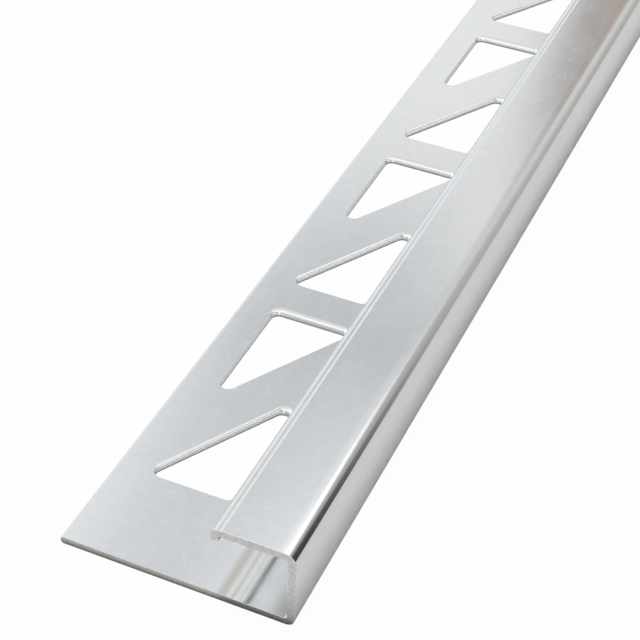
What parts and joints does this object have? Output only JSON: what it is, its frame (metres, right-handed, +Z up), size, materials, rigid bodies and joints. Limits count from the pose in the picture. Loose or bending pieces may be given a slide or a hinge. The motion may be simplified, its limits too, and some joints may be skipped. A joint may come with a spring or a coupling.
{
  "type": "tile edge trim",
  "caption": "Square edge tile trim: a punched anchoring leg, a closing wall and a flange folded back over the leg to a lip that meets the tile.",
  "frame": {"origin": "middle of the footprint, on the underside of the leg", "axes": "+Z up through the leg's thickness, +Y along the trim, +X towards the closing wall"},
  "size_m": [0.0286, 2.5, 0.0109],
  "materials": {
    "aluminium": "bright natural"
  },
  "bodies": {
    "root": {"edge_trim": "aluminium"}
  },
  "joints": []
}
